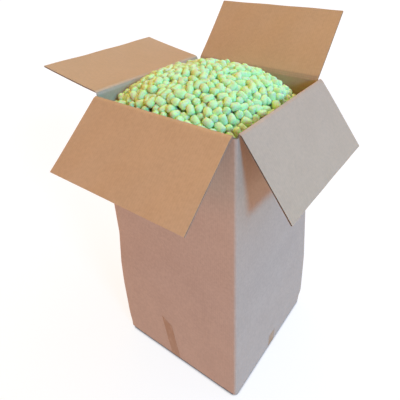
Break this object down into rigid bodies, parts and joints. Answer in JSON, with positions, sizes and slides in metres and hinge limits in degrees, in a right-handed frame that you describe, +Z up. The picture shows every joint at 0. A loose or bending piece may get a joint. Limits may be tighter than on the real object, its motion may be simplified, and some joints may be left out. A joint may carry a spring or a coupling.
{
  "type": "carton of packing peanuts",
  "caption": "Tall square corrugated carton, open at the top with hinged flaps spread, its bottom folded shut and taped, heaped with pale green foam packing peanuts.",
  "frame": {"origin": "centre of the carton's underside, on the plane it stands on", "axes": "+Z up; -Y out of the front wall, the one with the long leaning strip of tape; +X out of the right wall"},
  "size_m": [1.0772, 1.0285, 1.4198],
  "materials": {
    "kraft_board": "matte",
    "kraft_inner": "matte",
    "brown_tape": "satin",
    "green_foam": "matte"
  },
  "bodies": {
    "root": {"carton_body": "kraft_board", "seam_tape": "brown_tape", "cross_tape": "brown_tape", "loose_fill": "green_foam", "peanut_01": "green_foam", "peanut_02": "green_foam", "peanut_03": "green_foam", "peanut_04": "green_foam", "peanut_05": "green_foam", "peanut_06": "green_foam", "peanut_07": "green_foam", "peanut_08": "green_foam", "peanut_09": "green_foam", "peanut_10": "green_foam", "peanut_11": "green_foam", "peanut_12": "green_foam", "peanut_13": "green_foam", "peanut_14": "green_foam", "peanut_15": "green_foam", "peanut_16": "green_foam", "peanut_17": "green_foam", "peanut_18": "green_foam", "peanut_19": "green_foam", "peanut_20": "green_foam", "peanut_21": "green_foam", "peanut_22": "green_foam", "peanut_23": "green_foam", "peanut_24": "green_foam", "peanut_25": "green_foam", "peanut_26": "green_foam", "peanut_27": "green_foam", "peanut_28": "green_foam", "peanut_29": "green_foam", "peanut_30": "green_foam", "peanut_31": "green_foam", "peanut_32": "green_foam", "peanut_33": "green_foam", "peanut_34": "green_foam", "peanut_35": "green_foam", "peanut_36": "green_foam", "peanut_37": "green_foam", "peanut_38": "green_foam", "peanut_39": "green_foam", "peanut_40": "green_foam", "peanut_41": "green_foam", "peanut_42": "green_foam", "peanut_43": "green_foam", "peanut_44": "green_foam", "peanut_45": "green_foam", "peanut_46": "green_foam", "peanut_47": "green_foam", "peanut_48": "green_foam", "peanut_49": "green_foam", "peanut_50": "green_foam"},
    "front_flap": {"front_flap": "kraft_inner"},
    "right_flap": {"right_flap": "kraft_inner"},
    "back_flap": {"back_flap": "kraft_inner"},
    "left_flap": {"left_flap": "kraft_inner"}
  },
  "joints": [
    {"name": "front_fold", "type": "hinge", "parent": "root", "child": "front_flap", "pos_m": [0, -0.3, 1.1945], "axis": [1, 0, 0], "range_deg": [-161.9, 43.1]},
    {"name": "right_fold", "type": "hinge", "parent": "root", "child": "right_flap", "pos_m": [0.3, 0, 1.2], "axis": [0, 1, 0], "range_deg": [-143.8, 31.2]},
    {"name": "back_fold", "type": "hinge", "parent": "root", "child": "back_flap", "pos_m": [0, 0.3, 1.1945], "axis": [-1, 0, 0], "range_deg": [-97.3, 132.7]},
    {"name": "left_fold", "type": "hinge", "parent": "root", "child": "left_flap", "pos_m": [-0.3, 0, 1.2], "axis": [0, -1, 0], "range_deg": [-80.6, 94.4]}
  ]
}
